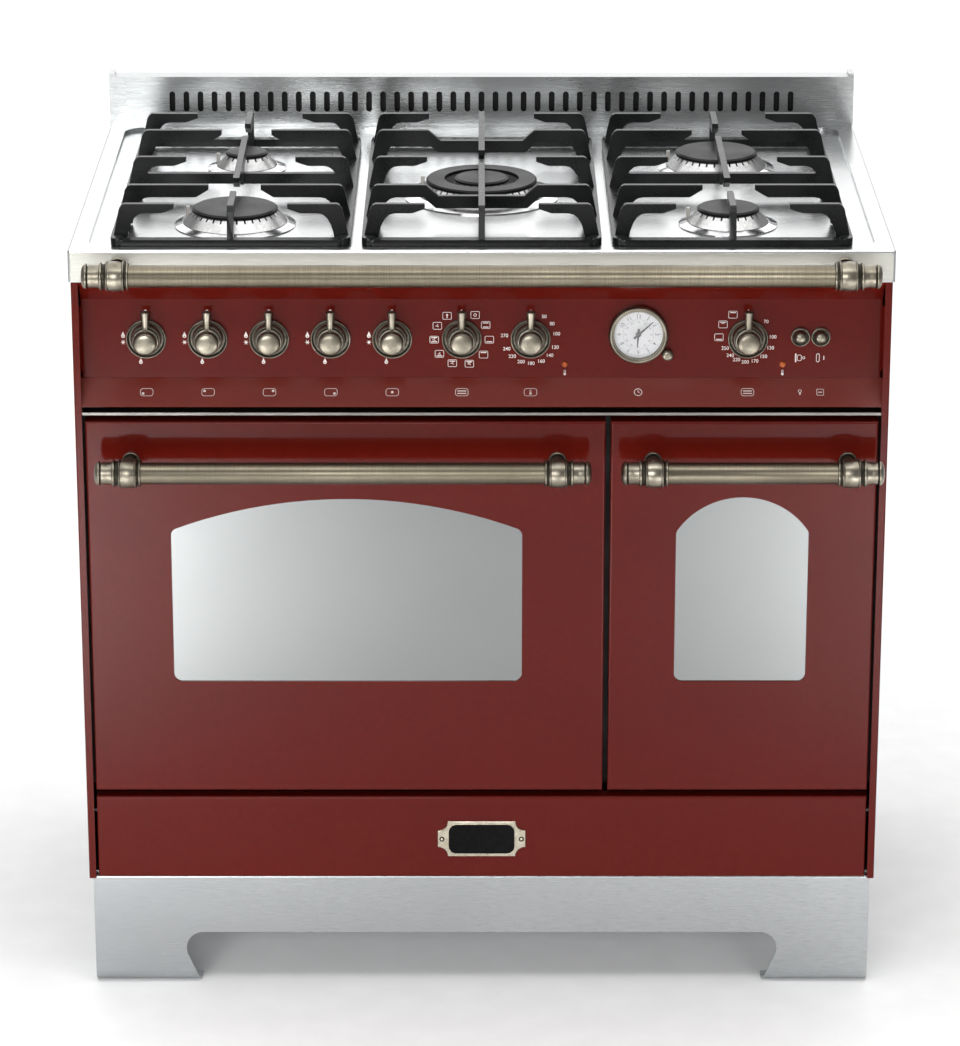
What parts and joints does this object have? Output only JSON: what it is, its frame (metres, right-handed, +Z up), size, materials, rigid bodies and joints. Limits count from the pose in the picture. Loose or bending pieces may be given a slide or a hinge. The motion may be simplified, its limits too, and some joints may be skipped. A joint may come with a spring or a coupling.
{
  "type": "dual-fuel range cooker",
  "caption": "Free-standing range cooker: gas hob with cast pan supports, wide and narrow drop-door ovens, knob panel with clock, storage drawer, steel plinth and bar rails.",
  "frame": {"origin": "on the floor, under the middle of the whole outline, front rail included", "axes": "+X to the right of someone who faces the cooker, +Y to its back, +Z up"},
  "size_m": [0.9, 0.6564, 0.951],
  "materials": {
    "red_enamel": "gloss vitreous enamel",
    "stainless": "brushed stainless steel",
    "bare_steel": "plain or plated steel",
    "oven_enamel": "black vitreous enamel",
    "cast_iron": "matt black enamelled cast iron",
    "aged_brass": "aged bronze plating",
    "window_glass": "mirrored toughened glass",
    "clear_glass": "clear toughened glass",
    "burner_alloy": "cast alloy",
    "burner_cap_enamel": "black enamel",
    "burner_steel": "pressed steel",
    "seal": "woven rope seal",
    "pipe_metal": "plain",
    "switch_plastic": "moulded",
    "motor_metal": "plain",
    "lens": "tinted lens",
    "hand_black": "matt black"
  },
  "bodies": {
    "body": {"side_panels": "red_enamel", "control_panel": "red_enamel", "hob_top": "stainless", "backsplash": "stainless", "plinth": "stainless", "vent_trim": "stainless", "front_frame": "bare_steel", "base_pan": "bare_steel", "back_panel": "bare_steel", "drawer_runners": "bare_steel", "hinge_brackets": "bare_steel", "adjustable_feet": "bare_steel", "oven_racks": "bare_steel", "fan_cover": "bare_steel", "heating_elements": "bare_steel", "spark_electrodes": "bare_steel", "main_oven_liner": "oven_enamel", "small_oven_liner": "oven_enamel", "hob_rail": "aged_brass", "control_bezels": "aged_brass", "clock_body": "aged_brass", "clock_glass": "clear_glass", "burner_heads": "burner_alloy", "burner_caps": "burner_cap_enamel", "burner_cups": "burner_steel", "oven_gaskets": "seal", "gas_manifold": "pipe_metal", "oven_switches": "switch_plastic", "fan_motor": "motor_metal", "pilot_lamps": "lens"},
    "main_door": {"main_door_panel": "red_enamel", "main_door_window": "window_glass", "main_door_inner_glass": "clear_glass", "main_door_hinges": "bare_steel", "main_door_handle": "aged_brass"},
    "small_door": {"small_door_panel": "red_enamel", "small_door_window": "window_glass", "small_door_inner_glass": "clear_glass", "small_door_hinges": "bare_steel", "small_door_handle": "aged_brass"},
    "drawer": {"drawer_front": "red_enamel", "drawer_box": "bare_steel", "name_plate": "aged_brass"},
    "front_left_knob": {"gas_knob_front_left": "aged_brass"},
    "rear_left_knob": {"gas_knob_rear_left": "aged_brass"},
    "rear_right_knob": {"gas_knob_rear_right": "aged_brass"},
    "front_right_knob": {"gas_knob_front_right": "aged_brass"},
    "centre_knob": {"gas_knob_centre": "aged_brass"},
    "function_knob": {"oven_function_knob": "aged_brass"},
    "temperature_knob": {"oven_temperature_knob": "aged_brass"},
    "small_temperature_knob": {"small_oven_knob": "aged_brass"},
    "lamp_key": {"lamp_button": "aged_brass"},
    "spit_key": {"spit_button": "aged_brass"},
    "crown": {"clock_crown": "aged_brass"},
    "minute_hand": {"clock_minute_hand": "hand_black"},
    "hour_hand": {"clock_hour_hand": "hand_black"},
    "fan": {"convection_fan": "bare_steel"},
    "left_support": {"pan_support_left": "cast_iron"},
    "centre_support": {"pan_support_centre": "cast_iron"},
    "right_support": {"pan_support_right": "cast_iron"}
  },
  "joints": [
    {"name": "main_door_hinge", "type": "hinge", "parent": "body", "child": "main_door", "pos_m": [-0.15075, -0.23275, 0.26], "axis": [1, 0, 0], "range_deg": [0, 90], "stiffness_Nm_per_rad": 4, "springref_deg": -34.38},
    {"name": "small_door_hinge", "type": "hinge", "parent": "body", "child": "small_door", "pos_m": [0.291, -0.23275, 0.26], "axis": [1, 0, 0], "range_deg": [0, 90], "stiffness_Nm_per_rad": 2.2, "springref_deg": -34.38},
    {"name": "drawer_slide", "type": "slide", "parent": "body", "child": "drawer", "axis": [0, -1, 0], "range_m": [0, 0.3]},
    {"name": "front_left_turn", "type": "hinge", "parent": "body", "child": "front_left_knob", "pos_m": [-0.3705, -0.22175, 0.773], "axis": [0, -1, 0], "range_deg": [0, 166]},
    {"name": "rear_left_turn", "type": "hinge", "parent": "body", "child": "rear_left_knob", "pos_m": [-0.3026, -0.22175, 0.773], "axis": [0, -1, 0], "range_deg": [0, 166]},
    {"name": "rear_right_turn", "type": "hinge", "parent": "body", "child": "rear_right_knob", "pos_m": [-0.2347, -0.22175, 0.773], "axis": [0, -1, 0], "range_deg": [0, 166]},
    {"name": "front_right_turn", "type": "hinge", "parent": "body", "child": "front_right_knob", "pos_m": [-0.1668, -0.22175, 0.773], "axis": [0, -1, 0], "range_deg": [0, 166]},
    {"name": "centre_turn", "type": "hinge", "parent": "body", "child": "centre_knob", "pos_m": [-0.0989, -0.22175, 0.773], "axis": [0, -1, 0], "range_deg": [0, 166]},
    {"name": "function_turn", "type": "hinge", "parent": "body", "child": "function_knob", "pos_m": [-0.022, -0.22175, 0.773], "axis": [0, -1, 0], "continuous": true},
    {"name": "temperature_turn", "type": "hinge", "parent": "body", "child": "temperature_knob", "pos_m": [0.054, -0.22175, 0.773], "axis": [0, -1, 0], "range_deg": [-276, 0]},
    {"name": "small_temperature_turn", "type": "hinge", "parent": "body", "child": "small_temperature_knob", "pos_m": [0.294, -0.22175, 0.773], "axis": [0, -1, 0], "range_deg": [-328, 0]},
    {"name": "lamp_press", "type": "slide", "parent": "body", "child": "lamp_key", "axis": [0, 1, 0], "range_m": [0, 0.003], "stiffness_N_per_m": 300},
    {"name": "spit_press", "type": "slide", "parent": "body", "child": "spit_key", "axis": [0, 1, 0], "range_m": [0, 0.003], "stiffness_N_per_m": 300},
    {"name": "crown_turn", "type": "hinge", "parent": "body", "child": "crown", "pos_m": [0.20544, -0.22175, 0.75529], "axis": [0, -1, 0], "continuous": true},
    {"name": "minute_turn", "type": "hinge", "parent": "body", "child": "minute_hand", "pos_m": [0.173, -0.22175, 0.778], "axis": [0, 1, 0], "continuous": true},
    {"name": "hour_turn", "type": "hinge", "parent": "body", "child": "hour_hand", "pos_m": [0.173, -0.22175, 0.778], "axis": [0, 1, 0], "continuous": true},
    {"name": "fan_spin", "type": "hinge", "parent": "body", "child": "fan", "pos_m": [-0.15075, 0.21175, 0.4645], "axis": [0, 1, 0], "continuous": true},
    {"name": "left_support_lift", "type": "slide", "parent": "body", "child": "left_support", "axis": [0, 0, 1], "range_m": [0, 0.15]},
    {"name": "centre_support_lift", "type": "slide", "parent": "body", "child": "centre_support", "axis": [0, 0, 1], "range_m": [0, 0.15]},
    {"name": "right_support_lift", "type": "slide", "parent": "body", "child": "right_support", "axis": [0, 0, 1], "range_m": [0, 0.15]}
  ],
  "couplings": [
    {"joint": "hour_turn", "follows": "minute_turn", "ratio": 0.083333}
  ]
}
